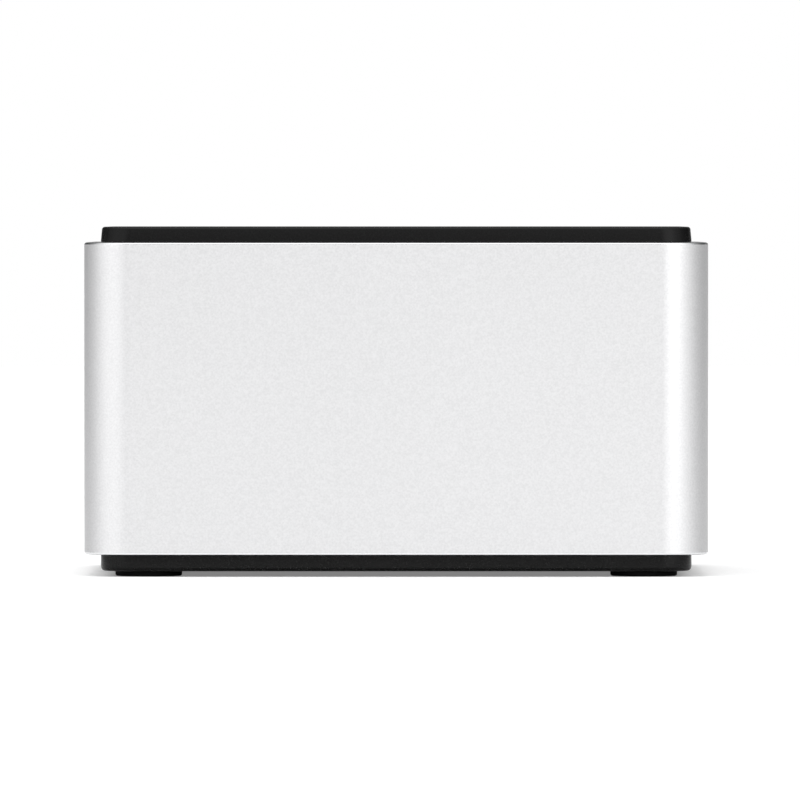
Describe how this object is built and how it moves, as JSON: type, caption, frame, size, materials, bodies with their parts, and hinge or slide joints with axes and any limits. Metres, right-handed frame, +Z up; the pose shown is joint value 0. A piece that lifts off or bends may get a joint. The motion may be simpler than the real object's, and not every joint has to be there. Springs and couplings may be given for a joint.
{
  "type": "drive docking station",
  "caption": "Desktop docking station for bare drives: a silver round-cornered sleeve between a black lid with sprung dust flaps over drive slots and a black base on rubber feet.",
  "frame": {"origin": "on the table, under the middle of the sleeve", "axes": "+X to the right along the front, +Y towards the back, +Z up"},
  "size_m": [0.14, 0.108, 0.0784],
  "materials": {
    "anodised_aluminium": "bead-blasted and clear anodised",
    "black_shell_plastic": "fine moulded grain",
    "black_flap_plastic": "fine moulded grain",
    "black_inner_plastic": "plain moulded",
    "foot_rubber": "matte",
    "pillar_aluminium": "turned",
    "hinge_steel": "ground",
    "spring_steel": "drawn wire",
    "screw_steel": "zinc plated",
    "board_laminate": "solder mask",
    "socket_plastic": "plain moulded",
    "gold_contact": "gold plated",
    "port_steel": "drawn sheet",
    "button_plastic": "smooth",
    "light_pipe_clear": "clear moulded",
    "led_body": "diffuse lens",
    "chip_epoxy": "moulded",
    "capacitor_can": "drawn can",
    "coil_ferrite": "pressed"
  },
  "bodies": {
    "chassis": {"sleeve": "anodised_aluminium", "lid": "black_shell_plastic", "base": "black_shell_plastic", "lid_pillars": "pillar_aluminium", "foot_front_left": "foot_rubber", "foot_front_right": "foot_rubber", "foot_rear_left": "foot_rubber", "foot_rear_right": "foot_rubber", "port_panel": "black_shell_plastic", "front_bay_well": "black_inner_plastic", "rear_bay_well": "black_inner_plastic", "front_flap_pins": "hinge_steel", "rear_flap_pins": "hinge_steel", "front_flap_springs": "spring_steel", "rear_flap_springs": "spring_steel", "front_drive_socket": "socket_plastic", "rear_drive_socket": "socket_plastic", "front_socket_contacts": "gold_contact", "rear_socket_contacts": "gold_contact", "main_board": "board_laminate", "usb_shell": "port_steel", "usb_tongue": "socket_plastic", "power_jack": "socket_plastic", "power_jack_pin": "hinge_steel", "power_switch_1": "socket_plastic", "power_switch_2": "socket_plastic", "light_pipe_left": "light_pipe_clear", "light_pipe_right": "light_pipe_clear", "status_leds": "led_body", "base_screws": "screw_steel", "board_screws": "screw_steel", "front_well_screws": "screw_steel", "rear_well_screws": "screw_steel", "bridge_chips": "chip_epoxy", "capacitors": "capacitor_can", "power_coils": "coil_ferrite"},
    "front_flap": {"front_flap": "black_flap_plastic"},
    "rear_flap": {"rear_flap": "black_flap_plastic"},
    "power_button_1": {"power_button_1": "button_plastic", "switch_plunger_1": "button_plastic"},
    "power_button_2": {"power_button_2": "button_plastic", "switch_plunger_2": "button_plastic"}
  },
  "joints": [
    {"name": "front_flap_hinge", "type": "hinge", "parent": "chassis", "child": "front_flap", "pos_m": [0, -0.0063, 0.0737], "axis": [1, 0, 0], "range_deg": [0, 90], "stiffness_Nm_per_rad": 0.004, "springref_deg": -45.84, "deforming": ["front_flap_springs"]},
    {"name": "rear_flap_hinge", "type": "hinge", "parent": "chassis", "child": "rear_flap", "pos_m": [0, 0.0354, 0.0737], "axis": [1, 0, 0], "range_deg": [0, 90], "stiffness_Nm_per_rad": 0.004, "springref_deg": -45.84, "deforming": ["rear_flap_springs"]},
    {"name": "power_button_1_press", "type": "slide", "parent": "chassis", "child": "power_button_1", "axis": [0, -1, 0], "range_m": [0, 0.0015], "stiffness_N_per_m": 300, "springref_m": -0.003},
    {"name": "power_button_2_press", "type": "slide", "parent": "chassis", "child": "power_button_2", "axis": [0, -1, 0], "range_m": [0, 0.0015], "stiffness_N_per_m": 300, "springref_m": -0.003}
  ]
}
